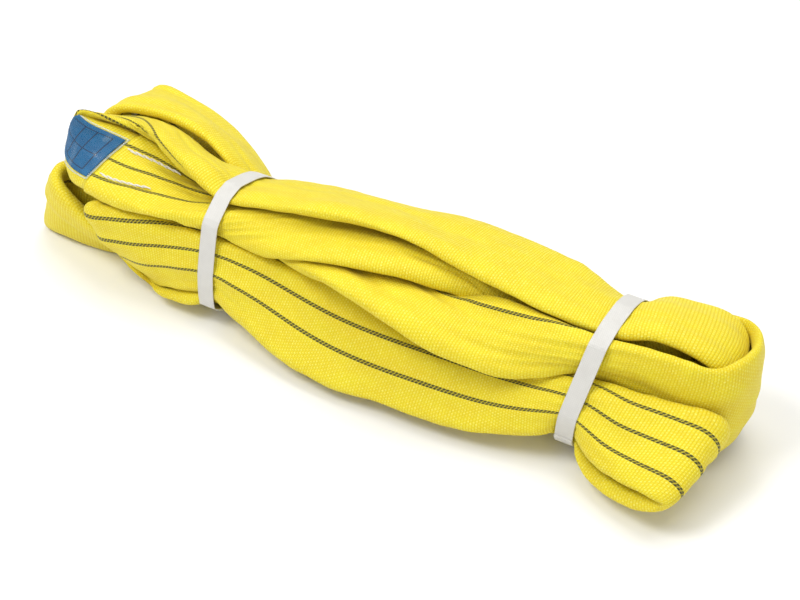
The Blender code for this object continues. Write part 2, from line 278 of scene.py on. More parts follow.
# The same along the passes: pass, x, reach, offset x, y, z, roll
PASS_SLACK = [
    (5, 10, 80, 0, 8, -8, 24), (3, 10, 60, 0, -6, -6, 0), (1, 10, 80, 0, -8, 6, -48),
    (4, 10, 60, 0, 2, -2, 0), (5, -168, 30, 0, -10, 0, -12), (1, -50, 45, 0, 1, 4, 0),
    (4, -40, 50, 0, 3, 4, 0), (0, -30, 60, 0, -3, -3, -8),
]
# Beside a strap the hank swells again: distance from the strap, reach, swelling
BESIDE_STRAP = (24.0, 11.0, 0.16)
STRAP_NEAR = 14.0
WALLS = (-72.0, 83.0)
AROUND_STIFFNESS = ((1, 0.1), (2, 0.2), (4, 0.25))
ALONG_STIFFNESS = ((1, 0.06), (2, 0.1), (4, 0.1))
# Turn of the woven stripes round the cover, as a share of the girth: pass, x, turn
STRIPE_TURN = [
    (0, 196, 0.0), (0, 142, 0.09), (0, 90, 0.05), (0, 30, 0.045), (0, -40, 0.07), (0, -95, 0.14),
    (0, -124, 0.17), (0, -190, 0.03), (1, -190, 0.03), (1, -85, 0.45), (1, -20, 0.66), (1, 15, 0.72),
    (1, 95, 0.72), (1, 130, 0.6), (1, 200, 0.5), (2, 200, 0.5), (2, -198, 0.5), (3, -208, 0.5),
    (3, 166, 0.5), (4, 166, 0.5), (4, -85, 0.5), (4, -165, 0.0), (4, -212, -0.06), (5, -214, 0.15),
    (5, -180, 0.45), (5, 196, 0.5), (6, 198, 0.5), (6, -203, 0.5), (7, -222, 0.45), (7, -100, 0.4),
    (7, 160, 0.05), (7, 198, 0.0),
]
NEIGHBOURS = [(0, 0, 0), (0, 0, 1)] + [(0, 1, b) for b in (-1, 0, 1)]
NEIGHBOURS += [(1, a, b) for a in (-1, 0, 1) for b in (-1, 0, 1)]


def smooth_ring(values, rounds, axis=0):
    for _ in range(rounds):
        values = (np.roll(values, 1, axis) + 2.0 * values + np.roll(values, -1, axis)) / 4.0
    return values


def mean_beside(values):
    """The mean of each cloth point's four neighbours."""
    along = np.roll(values, 1, 0) + np.roll(values, -1, 0)
    return (along + np.roll(values, 1, 1) + np.roll(values, -1, 1)) / 4.0


def stripe_turn(route, places):
    where = np.array([route.place_near(number, x) for number, x, _ in STRIPE_TURN])
    turn = np.array([row[2] for row in STRIPE_TURN])
    order = np.argsort(where)
    where, turn = where[order], turn[order]
    where = np.concatenate([where - route.length, where, where + route.length])
    return smooth_ring(np.interp(places, where, np.tile(turn, 3)), 12)


def section_points(width, thickness, shift, power=2.6, fine=160):
    """Points evenly spaced round a flattened section, the first at the middle of its outer face."""
    theta = np.arange(fine) * 2.0 * np.pi / fine
    across, out = np.sin(theta), np.cos(theta)
    across = np.sign(across) * np.abs(across) ** (2.0 / power)
    out = np.sign(out) * np.abs(out) ** (2.0 / power)
    points = np.stack([across[None] * width[:, None] / 2.0, out[None] * thickness[:, None] / 2.0], 2)
    closed = np.concatenate([points, points[:, :1]], 1)
    steps = np.linalg.norm(closed[:, 1:] - closed[:, :-1], axis=2)
    run = np.concatenate([np.zeros((len(width), 1)), np.cumsum(steps, 1)], 1)
    result = np.empty((len(width), AROUND, 2))
    for k in range(len(width)):
        at = np.mod(np.arange(AROUND) / AROUND + shift[k], 1.0) * run[k, -1]
        result[k, :, 0] = np.interp(at, run[k], closed[k, :, 0])
        result[k, :, 1] = np.interp(at, run[k], closed[k, :, 1])
    return result, run[:, -1]


def normals_of(x):
    return unit(np.cross(np.roll(x, -1, 1) - np.roll(x, 1, 1), np.roll(x, -1, 0) - np.roll(x, 1, 0)))


def close_pairs(points, ring):
    """Pairs of points near one another whose rings are well apart along the loop."""
    cell = ((points - points.min(0) + 1.0) / PAIR_REACH).astype(np.int64) + 1
    size = cell.max(0) + 2
    key = (cell[:, 0] * size[1] + cell[:, 1]) * size[2] + cell[:, 2]
    order = np.argsort(key, kind="stable")
    sorted_key = key[order]
    first, second = [], []
    for dx, dy, dz in NEIGHBOURS:
        offset = (dx * size[1] + dy) * size[2] + dz
        low = np.searchsorted(sorted_key, sorted_key + offset, "left")
        count = np.searchsorted(sorted_key, sorted_key + offset, "right") - low
        a = np.repeat(np.arange(len(key)), count)
        b = np.repeat(low, count) + np.arange(len(a)) - np.repeat(np.cumsum(count) - count, count)
        if offset == 0:
            keep = b > a
            a, b = a[keep], b[keep]
        a, b = order[a], order[b]
        apart = np.abs(ring[a] - ring[b])
        keep = np.minimum(apart, RINGS - apart) > PAIR_RINGS
        a, b = a[keep], b[keep]
        gap = points[a] - points[b]
        keep = (gap * gap).sum(1) < PAIR_REACH * PAIR_REACH
        first.append(a[keep])
        second.append(b[keep])
    return np.concatenate(first), np.concatenate(second)


def facing_pairs(x, first, second):
    """Which pairs of cloth points meet face to face, the way that parts them, and how far apart and aside."""
    points = x.reshape(-1, 3)
    normal = normals_of(x).reshape(-1, 3)
    offset = points[first] - points[second]
    a, b = normal[first], normal[second]
    along = unit(b - a)
    apart = (offset * along).sum(1)
    aside = np.sqrt(np.maximum((offset * offset).sum(1) - apart ** 2, 0.0))
    meet = ((a * b).sum(1) < 0.1) & (aside < PAIR_ASIDE) & (apart > PAIR_DEEPEST)
    return meet, along, apart, aside


class Cover:
    """The cover as a tube of cloth points, RINGS along the loop by AROUND round it."""

    def __init__(self, route):
        self.route = route
        self.spacing = route.length / RINGS
        self.places = np.arange(RINGS) * self.spacing
        self.centre, self.u, self.v, self.width, self.thickness = route.at(self.places)
        slack = [(route.turn_place(number) + past, *rest) for number, past, *rest in LOOP_SLACK]
        slack += [(route.place_near(number, x), *rest) for number, x, *rest in PASS_SLACK]
        roll = np.zeros(RINGS)
        for place, reach, dx, dy, dz, degrees in slack:
            away = np.abs(self.places - place)
            away = np.minimum(away, route.length - away)
            weight = np.exp(-(away / reach) ** 2)
            self.centre = self.centre + weight[:, None] * np.array([dx, dy, dz])
            roll += weight * math.radians(degrees)
        c, s = np.cos(roll)[:, None], np.sin(roll)[:, None]
        self.u, self.v = self.u * c + self.v * s, self.v * c - self.u * s
        for x, _ in STRAPS.values():
            beside = np.exp(-((np.abs(self.centre[:, 0] - x) - BESIDE_STRAP[0]) / BESIDE_STRAP[1]) ** 2)
            from_axis = self.centre[:, 1:] - np.array([0.0, HUB_HEIGHT])
            self.centre[:, 1:] += from_axis * beside[:, None] * BESIDE_STRAP[2]
        self.turn = stripe_turn(route, self.places)
        section, self.perimeter = section_points(self.width, self.thickness, self.turn)
        across, out = section[:, :, :1] * self.u[:, None], section[:, :, 1:] * self.v[:, None]
        self.x = self.centre[:, None] + across + out
        self.x[..., 2] = np.maximum(self.x[..., 2], START_GAP)
        noise = np.random.default_rng(4).normal(size=(RINGS, AROUND, 1))
        self.x = self.x + normals_of(self.x) * smooth_ring(noise, 4) * START_NOISE
        self.ring = np.repeat(np.arange(RINGS), AROUND)
        near = [np.exp(-((self.centre[:, 0] - x) / STRAP_NEAR) ** 2) for x, _ in STRAPS.values()]
        self.near = np.max(near, axis=0)
        # Steps of cloth points from each point to the nearer of the flattened tube's two folds
        around = np.mod(np.arange(AROUND)[None] / AROUND + self.turn[:, None], 0.5)
        self.to_fold = (np.abs(around - 0.25) * AROUND)[..., None]
        self.free = (1.0 - 0.5 * self.near)[:, None, None]
        # The loops beyond the straps hang free, so they keep closer to their place and bend more easily
        tangent = unit(np.roll(self.centre, -2, 0) - np.roll(self.centre, 2, 0))
        bend = np.linalg.norm(np.roll(tangent, -2, 0) - np.roll(tangent, 2, 0), axis=1) / (4.0 * self.spacing)
        self.straight = (1.0 / (1.0 + (smooth_ring(bend, 6) * STRAIGHT_REACH) ** 2))[:, None, None]
        beyond = np.clip((np.abs(self.centre[:, 0]) - LOOPS_FROM) / LOOPS_RAMP, 0.0, 1.0)
        self.hold = (HOLD[0] + (HOLD[1] - HOLD[0]) * beyond)[:, None]

    def stretch(self, axis, rest, pull, push):
        """Keep neighbours at their rest distance: pull where too far, push where too near."""
        x = self.x
        gap = np.roll(x, -1, axis) - x
        length = np.linalg.norm(gap, axis=2, keepdims=True)
        excess = (length - rest) / np.maximum(length, 1e-9)
        move = gap * excess * 0.25 * np.where(excess > 0, pull, push)
        x += move
        x -= np.roll(move, 1, axis)

    def shear(self, rest, stiffness):
        """Keep the cloth's meshes square: neighbours across a mesh stay at their rest distance."""
        x = self.x
        for side in (1, -1):
            gap = np.roll(np.roll(x, -1, 0), side, 1) - x
            length = np.linalg.norm(gap, axis=2, keepdims=True)
            move = gap * (length - rest) / np.maximum(length, 1e-9) * 0.25 * stiffness
            x += move
            x -= np.roll(np.roll(move, 1, 0), -side, 1)

    def stiffen(self, axis, step, stiffness):
        """Straighten the cloth without shrinking it: a point moves in, its neighbours move back."""
        x = self.x
        move = ((np.roll(x, step, axis) + np.roll(x, -step, axis)) / 2.0 - x) * 0.5 * stiffness
        x += move
        x -= (np.roll(move, step, axis) + np.roll(move, -step, axis)) / 2.0

    def area(self):
        """Each section's points in its own frame, and its signed area."""
        offset = self.x - self.x.mean(1, keepdims=True)
        a = (offset * self.u[:, None]).sum(2)
        b = (offset * self.v[:, None]).sum(2)
        return a, b, 0.5 * (a * np.roll(b, -1, 1) - np.roll(a, -1, 1) * b).sum(1)

    def fill(self, target):
        """The yarn inside keeps each section's area near its target."""
        a, b, area = self.area()
        grow_a = 0.5 * (np.roll(b, -1, 1) - np.roll(b, 1, 1))
        grow_b = 0.5 * (np.roll(a, 1, 1) - np.roll(a, -1, 1))
        size = np.abs(area)
        lack = np.where(size < target, target - size, np.minimum(0.0, target * 1.12 - size)) * np.sign(area)
        step = np.clip(lack / ((grow_a ** 2 + grow_b ** 2).sum(1) + 1e-9), -1.5, 1.5) * 0.5
        self.x += (grow_a * step[:, None])[..., None] * self.u[:, None]
        self.x += (grow_b * step[:, None])[..., None] * self.v[:, None]

    def tie(self):
        """Each strap holds the points that pass through it inside its radius."""
        x = self.x
        for at, lean in STRAPS.values():
            away = x[..., 0] - at - lean * (x[..., 2] - HUB_HEIGHT)
            weight = np.clip((STRAP_GRIP - np.abs(away)) / STRAP_FADE, 0.0, 1.0)
            y, z = x[..., 1], x[..., 2] - HUB_HEIGHT
            from_axis = np.sqrt(y ** 2 + z ** 2)
            over = np.maximum(from_axis - STRAP_RADIUS, 0.0) * weight * 0.6
            x[..., 1] -= y / from_axis * over
            x[..., 2] -= z / from_axis * over

    def gather(self):
        """The wound hank draws the cloth gently toward its own axis."""
        x = self.x
        inside = np.clip((HANK_ENDS - np.abs(x[..., 0])) / LOOPS_RAMP, 0.0, 1.0)
        y, z = x[..., 1] - HANK_AXIS[0], x[..., 2] - HANK_AXIS[1]
        from_axis = np.sqrt(y ** 2 + z ** 2) + 1.0
        x[..., 1] -= y / from_axis * inside * GATHER
        x[..., 2] -= z / from_axis * inside * GATHER

    def collide(self, pairs, gap):
        """Part the passes where they meet: each point's moves are weighted by how squarely the pairs face."""
        first, second = pairs
        meet, along, apart, aside = facing_pairs(self.x, first, second)
        hit = meet & (apart < gap)
        if not hit.any():
            return
        weight = 1.05 - aside[hit] / PAIR_ASIDE
        push = ((gap - apart[hit]) * 0.5 * weight)[:, None] * along[hit]
        first, second = first[hit], second[hit]
        points = self.x.reshape(-1, 3)
        count = len(points)
        total = np.bincount(first, weights=weight, minlength=count)
        total += np.bincount(second, weights=weight, minlength=count)
        share = (np.minimum(total * 3.0, 1.0) / np.maximum(total, 1e-6) * 0.9)[:, None]
        moved = np.empty_like(points)
        for k in range(3):
            moved[:, k] = np.bincount(first, weights=push[:, k], minlength=count)
            moved[:, k] -= np.bincount(second, weights=push[:, k], minlength=count)
        self.x = (points + moved * share).reshape(RINGS, AROUND, 3)

    def room(self, x):
        """Share of its bulge that each cloth point has room for before it meets another pass."""
        first, second = close_pairs(x.reshape(-1, 3), self.ring)
        meet, _, apart, _ = facing_pairs(x, first, second)
        clear = np.full(x.shape[0] * x.shape[1], CLOTH_GAP + FREE_ROOM)
        for side in (first, second):
            np.minimum.at(clear, side[meet], apart[meet])
        return np.clip((clear - CLOTH_GAP) / FREE_ROOM, 0.0, 1.0).reshape(x.shape[:2])

    def relax(self, steps, settle):
        """Let the cloth out to its full girth inside the hank, then settle it."""
        start_area = np.abs(self.area()[2])
        full_area = FILL_AREA[0] - FILL_AREA[1] * self.near
        pairs = None
        push = 1.0 - 0.7 * self.near[:, None, None]
        for step in range(steps + settle):
            grown = ease(min(1.0, step / (steps * 0.6)))
            girth = self.perimeter + (GIRTH - self.perimeter) * grown
            mesh = (girth / AROUND)[:, None, None]
            diagonal = np.sqrt(mesh ** 2 + self.spacing ** 2)
            target = start_area + (full_area - start_area) * grown
            self.x[..., 2] -= SINK
            self.gather()
            for _ in range(2):
                for reach, stiffness in AROUND_STIFFNESS:
                    flat = np.clip(self.to_fold - reach + 0.5, 0.0, 1.0)
                    self.stiffen(1, reach, stiffness * flat * self.free)
                for reach, stiffness in ALONG_STIFFNESS:
                    self.stiffen(0, reach, stiffness * self.straight)
                self.shear(diagonal, 0.2)
                self.stretch(0, self.spacing, 1.0, 0.1)
                for _ in range(2):
                    self.stretch(1, mesh, 1.0, push if step < steps else SETTLE * push)
            self.fill(target)
            hold = self.hold if step < steps else SETTLE * self.hold
            self.x += (hold * (self.centre - self.x.mean(1)))[:, None]
            self.tie()
            if step % PAIR_EVERY == 0:
                pairs = close_pairs(self.x.reshape(-1, 3), self.ring)
            self.collide(pairs, CLOTH_GAP)
            self.x[..., 1] = np.clip(self.x[..., 1], *WALLS)
            self.x[..., 2] = np.maximum(self.x[..., 2], FLOOR_GAP)


def even_out(x, rounds):
    """Take the finest jitter out of the cloth without shrinking it."""
    for _ in range(rounds):
        for share in (0.5, -0.52):
            x = x + share * (mean_beside(x) - x)
    return x


def refine(x, axis):
    """Twice the points along one axis, each new one on a cubic through its four neighbours."""
    near = x + np.roll(x, -1, axis)
    far = np.roll(x, 1, axis) + np.roll(x, -2, axis)
    shape = list(x.shape)
    shape[axis] *= 2
    result = np.empty(shape)
    index = [slice(None)] * x.ndim
    index[axis] = slice(0, None, 2)
    result[tuple(index)] = x
    index[axis] = slice(1, None, 2)
    result[tuple(index)] = (9.0 * near - far) / 16.0
    return result


WRINKLE_LEAST = 0.15
WRINKLE_DEPTH = 1.8
RIPPLE_DEPTH = 0.7
FOLD_DEPTH = 0.45
FOLD_RIDGE = (2.2, 1.2)


def soft_noise(shape, along, around, seed):
    """Smooth noise on the cloth, wider for more rounds along and around, of unit spread."""
    noise = np.random.default_rng(seed).normal(size=shape)
    noise = smooth_ring(smooth_ring(noise, along), around, 1)
    return noise / noise.std()


def add_wrinkles(x, spacing, turn, room):
    """Short creases, deepest where pressed together lengthwise, and a ridge at both folds.

    They rise only where there is room for them.
    """
    shape = x.shape[:2]
    around = np.mod(np.arange(shape[1])[None] / shape[1] + turn[:, None], 0.5)
    ridge = np.exp(-((around - 0.25) * GIRTH / FOLD_RIDGE[0]) ** 2) * FOLD_RIDGE[1]
    gap = np.linalg.norm(np.roll(x, -1, 0) - x, axis=2)
    slack = np.clip(1.0 - gap / spacing, 0.0, 0.5)
    for _ in range(6):
        for axis in (0, 1):
            slack = (np.roll(slack, 1, axis) + slack + np.roll(slack, -1, axis)) / 3.0
    creases = soft_noise(shape, 3, 40, 11)
    ripple = soft_noise(shape, 30, 16, 12)
    fold = soft_noise(shape, 300, 4, 13)
    depth = WRINKLE_LEAST + WRINKLE_DEPTH * slack
    height = np.clip(creases, -1.6, 1.6) * depth + ripple * RIPPLE_DEPTH + fold * FOLD_DEPTH + ridge
    for _ in range(2):
        room = np.minimum(room, mean_beside(room))
    height = np.where(height > 0.0, height * room, height)
    return x + normals_of(x) * height[..., None]


# ---- meshes
# The loop stands out further than its middle line, which draws the seam back along the pass
SEAM_DRAWN_BACK = 14.0
CORE_SHARE = 0.28
CORE_RING = 12.0
CORE_GIRTH = 60.0
HEM_HEIGHT = 1.5
HEM_GAP = 3.0
HEM_RAMP = 16.0
HEM_STEPS = ((-2.4, 1.0), (-1.0, 1.1), (-0.35, 0.95), (0.0, 0.55), (0.15, 0.0))
STITCH_ROWS = {"seam_stitching_upper": 15.0, "seam_stitching_lower": -15.8}
STITCH_PITCH = 5.2
THREAD_RADIUS = 0.5
STRIPE_OFFSET = 19.0
LABEL_WIDTH = 35.0
LABEL_LENGTH = 38.0
LABEL_SETBACK = 2.5
LABEL_LIFT = (0.7, 0.35)
FILM_MARGIN = 1.9
FILM_LIFT = (1.5, 0.25)
# A quad's corners, in steps along and across its grid
QUAD = ((0, 0), (1, 0), (1, 1), (0, 1))


class Surface:
    """The finished cloth, by arc length along the loop and distance round it from its outer middle."""

    def __init__(self, x, length):
        self.x = x
        self.normal = normals_of(x)
        self.length = length
        self.count, self.around = x.shape[:2]

    def lookup(self, grid, along, round_):
        """Bilinear lookup in a grid of values on the cloth."""
        a = np.mod(along / self.length, 1.0) * self.count
        b = np.mod(round_ / GIRTH, 1.0) * self.around
        a0, b0 = np.floor(a).astype(int), np.floor(b).astype(int)
        fa, fb = (a - a0)[..., None], (b - b0)[..., None]
        a0, b0 = a0 % self.count, b0 % self.around
        a1, b1 = (a0 + 1) % self.count, (b0 + 1) % self.around
        low = grid[a0, b0] * (1 - fb) + grid[a0, b1] * fb
        high = grid[a1, b0] * (1 - fb) + grid[a1, b1] * fb
        return low * (1 - fa) + high * fa

    def at(self, along, round_, lift=0.0):
        along, round_ = np.broadcast_arrays(np.asarray(along, float), np.asarray(round_, float))
        normal = unit(self.lookup(self.normal, along, round_))
        return self.lookup(self.x, along, round_) + normal * np.asarray(lift)[..., None]


def show(name, data):
    piece = bpy.data.objects.new(name, data)
    bpy.context.scene.collection.objects.link(piece)
    return piece


def make_object(name, points, faces, uv=None, smooth=True):
    """A mesh object from points in millimetres in the row frame."""
    data = bpy.data.meshes.new(name)
    data.from_pydata((np.asarray(points) * MM).tolist(), [], faces)
    if uv is not None:
        layer = data.uv_layers.new(name="UVMap")
        layer.data.foreach_set("uv", np.asarray(uv, np.float32).ravel())
    if smooth:
        data.shade_smooth()
    data.update()
    return show(name, data)


def tube_faces(rings, around, closed):
    """Quads of a tube that is closed on itself, or has a face at each end."""
    last = rings if closed else rings - 1
    i = np.arange(last)[:, None]
    j = np.arange(around)[None]
    quads = np.stack([(i + a) % rings * around + (j + b) % around for a, b in QUAD], 2)
    faces = quads.reshape(-1, 4).tolist()
    if not closed:
        faces += [list(range(around)), list(range((rings - 1) * around, rings * around))[::-1]]
    return faces


def tube_uv(along, girth, around, last):
    """UVs in metres: along the loop, and round the tube."""
    i = np.arange(last)[:, None]
    j = np.arange(around)[None]
    corners = [np.broadcast_arrays(along[i + a], (j + b) * (girth / around)) for a, b in QUAD]
    return np.stack([np.stack(corner, -1) for corner in corners], 2).reshape(-1, 2) * MM


def build_cover(surface, seam):
    """The whole cover as one closed tube whose hemmed end stands proud over the seam's lap."""
    spacing = surface.length / surface.count
    hem = seam + SEAM_OVERLAP
    places = np.arange(surface.count) * spacing
    places = places[np.abs(places - hem) > HEM_GAP]
    rise = ease(np.clip((places - seam) / HEM_RAMP, 0.0, 1.0)) * (places < hem)
    lift = HEM_HEIGHT * np.concatenate([rise, [share for _, share in HEM_STEPS]])
    places = np.concatenate([places, [hem + step for step, _ in HEM_STEPS]])
    order = np.argsort(places)
    places, lift = places[order], lift[order]
    round_ = np.arange(surface.around) * GIRTH / surface.around
    points = surface.at(places[:, None], round_[None], lift[:, None])
    points[..., 2] = np.maximum(points[..., 2], 0.2)
    faces = tube_faces(len(places), surface.around, closed=True)
    uv = tube_uv(np.append(places, surface.length), GIRTH, surface.around, len(places))
    return make_object("cover", points.reshape(-1, 3), faces, uv)


def build_core(x):
    """The endless hank of yarn inside the cover: smooth, and well clear of the cloth."""
    middle = smooth_ring(x.mean(1, keepdims=True), 2)
    ring = smooth_ring(middle + CORE_SHARE * (x - middle), 2)[::2, ::2]
    uv = tube_uv(np.arange(len(ring) + 1) * CORE_RING, CORE_GIRTH, ring.shape[1], len(ring))
    faces = tube_faces(len(ring), ring.shape[1], closed=True)
    return make_object("core_hank", ring.reshape(-1, 3), faces, uv)


def tube_along(path, radius, sides=8):
    """Points and faces of a round thread along a path, with rounded ends."""
    path = np.asarray(path)
    tangent = unit(np.gradient(path, axis=0))
    helper = np.array([0.3, 0.5, 0.81])
    a = unit(np.cross(tangent, helper))
    b = np.cross(tangent, a)
    theta = np.arange(sides) * 2 * np.pi / sides
    grow = np.ones(len(path))
    grow[0] = grow[-1] = 0.45
    grow[1] = grow[-2] = 0.9
    ring = np.cos(theta)[None, :, None] * a[:, None] + np.sin(theta)[None, :, None] * b[:, None]
    points = path[:, None] + ring * (radius * grow)[:, None, None]
    return points.reshape(-1, 3), tube_faces(len(path), sides, closed=False)


def build_stitches(name, surface, start, end, round_at):
    """One row of sewing: slanted stitches of thick thread in pairs, sunk into the cloth at their ends."""
    points, faces, base = [], [], 0
    count = int((end - start) / STITCH_PITCH)
    share = np.linspace(0.0, 1.0, 9)
    rise = np.sin(np.pi * share) ** 0.6 * 0.75 - 0.25
    for number in range(count):
        for side, offset in ((-0.55, 0.0), (0.55, 0.5)):
            first = start + (number + offset) * STITCH_PITCH
            along = first + share * STITCH_PITCH * 1.06
            round_ = round_at + side + (share - 0.5) * 0.9
            path = surface.at(along, round_, HEM_HEIGHT + 0.1 + rise)
            p, f = tube_along(path, THREAD_RADIUS)
            points.append(p)
            faces.extend([[index + base for index in face] for face in f])
            base += len(p)
    return make_object(name, np.concatenate(points), faces)


def laid_off(places, points, distances):
    """The places whose points lie the given distances along a path of points."""
    run = np.concatenate([[0.0], np.cumsum(np.linalg.norm(np.diff(points, axis=0), axis=1))])
    return np.interp(distances, run, places)


def sheet_on(name, surface, start, length, width, lift, thickness, across=24, along=28):
    """A thin sheet laid on the cloth at its true size: length runs along the loop, width round it."""
    ahead = start + np.linspace(0.0, 2.5 * length, 200)
    a = laid_off(ahead, surface.at(ahead, 0.0, lift), np.linspace(0.0, length, along))
    aside = np.linspace(0.0, 1.2 * width, 120)
    halves = []
    for side in (-1.0, 1.0):
        path = surface.at(a[along // 2], side * aside, lift)
        halves.append(laid_off(side * aside, path, np.linspace(0.0, width / 2.0, across // 2 + 1)))
    b = np.concatenate([halves[0][:0:-1], halves[1][1:]])
    cloth = surface.at(a[:, None], b[None])
    out = unit(surface.lookup(surface.normal, a[:, None], b[None]))
    inner = cloth + out * lift
    for _ in range(12):
        inner = sheet_smooth(inner, 3)
        short = lift - ((inner - cloth) * out).sum(-1, keepdims=True)
        inner = inner + out * np.maximum(short, 0.0)
    normal = unit(np.cross(np.gradient(inner, axis=1), np.gradient(inner, axis=0)))
    normal = normal * np.sign((normal * out).sum(-1).mean())
    outer = inner + normal * thickness
    points = np.concatenate([outer.reshape(-1, 3), inner.reshape(-1, 3)])
    count = along * across
    faces, uv = [], []
    u = (a - start) / length
    v = np.linspace(0.0, 1.0, across)
    for i in range(along - 1):
        for j in range(across - 1):
            quad = [(i + a) * across + j + b for a, b in QUAD]
            corners = [(u[i + a], v[j + b]) for a, b in QUAD]
            faces += [quad, [corner + count for corner in quad[::-1]]]
            uv += corners + corners[::-1]
    index = np.arange(count).reshape(along, across)
    rim = np.concatenate([index[0], index[1:, -1], index[-1, -2::-1], index[-2:0:-1, 0]]).tolist()
    for k, here in enumerate(rim):
        following = rim[(k + 1) % len(rim)]
        faces.append([here, following, following + count, here + count])
        uv += [(0.0, 0.0)] * 4
    return make_object(name, points, faces, uv)


def sheet_smooth(grid, rounds):
    """Even out a sheet's inner points and edges without moving its corners."""
    for _ in range(rounds):
        inner = grid.copy()
        inner[1:-1] = (grid[:-2] + 2 * grid[1:-1] + grid[2:]) / 4.0
        grid = inner.copy()
        grid[:, 1:-1] = (inner[:, :-2] + 2 * inner[:, 1:-1] + inner[:, 2:]) / 4.0
    return grid


STRAP_WIDTH = 12.0
STRAP_THICKNESS = 0.8
STRAP_REACH = 7.0
STRAP_SAMPLES = 240
STRAP_CLEAR = 0.35
WELD_SHARE = (0.52, 0.66)


def build_strap(name, x, at, lean):
    """A flat strap pulled tight round every point that passes through it, lapped and welded underneath."""
    points = x.reshape(-1, 3)
    away = points[:, 0] - at - lean * (points[:, 2] - HUB_HEIGHT)
    flat = points[np.abs(away) < STRAP_REACH][:, 1:]
    theta = np.arange(720) * 2 * np.pi / 720
    direction = np.stack([np.sin(theta), np.cos(theta)], 1)
    support = (flat @ direction.T).max(0)
    support = smooth_ring(support, 14) + STRAP_CLEAR
    slope = (np.roll(support, -1) - np.roll(support, 1)) / (theta[2] - theta[0])
    turned = np.stack([np.cos(theta), -np.sin(theta)], 1)
    hull = support[:, None] * direction + slope[:, None] * turned
    hull[:, 1] = np.maximum(hull[:, 1], 0.0)
    marks = arc_lengths(hull)
    closed = np.vstack([hull, hull[:1]])
    lap = (WELD_SHARE[1] - WELD_SHARE[0]) * marks[-1]
    start = WELD_SHARE[0] * marks[-1]
    run = start + np.linspace(0.0, marks[-1] + lap, STRAP_SAMPLES)
    wrapped = np.mod(run, marks[-1])
    path = np.stack([np.interp(wrapped, marks, closed[:, k]) for k in range(2)], 1)
    tangent = unit(np.stack([np.gradient(path[:, 0]), np.gradient(path[:, 1])], 1))
    outward = np.stack([-tangent[:, 1], tangent[:, 0]], 1)
    outward *= np.sign((outward * (path - path.mean(0))).sum(1))[:, None]
    done = run - start
    over = np.clip((done - marks[-1] + 6.0) / 6.0, 0.0, 1.0)
    level = ease(over) * (STRAP_THICKNESS + 0.05)
    half, thick, soft = STRAP_WIDTH / 2.0, STRAP_THICKNESS, 0.22
    inner = half - soft
    profile = [(-half, soft), (-inner, 0.0), (0.0, 0.0), (inner, 0.0), (half, soft),
               (half, thick - soft), (inner, thick), (0.0, thick), (-inner, thick), (-half, thick - soft)]
    rings = []
    for k in range(STRAP_SAMPLES):
        for across, out in profile:
            y, z = path[k] + outward[k] * (out + level[k])
            rings.append((at + lean * (z - HUB_HEIGHT) + across, y, max(z, 0.05)))
    sides = len(profile)
    faces = tube_faces(STRAP_SAMPLES, sides, closed=False)
    widths = np.array([p[0] for p in profile] + [-half]) + half
    uv = [(done[k + a], widths[j + b])
          for k in range(STRAP_SAMPLES - 1) for j in range(sides) for a, b in QUAD]
    uv += [(0.0, 0.0)] * (2 * sides)
    return make_object(name, rings, faces, np.array(uv) * MM, smooth=False)


def outward_faces(piece):
    """Turn a closed piece's faces outward."""
    mesh = bmesh.new()
    mesh.from_mesh(piece.data)
    bmesh.ops.recalc_face_normals(mesh, faces=mesh.faces)
    if mesh.calc_volume(signed=True) < 0.0:
        bmesh.ops.reverse_faces(mesh, faces=mesh.faces)
    mesh.to_mesh(piece.data)
    mesh.free()


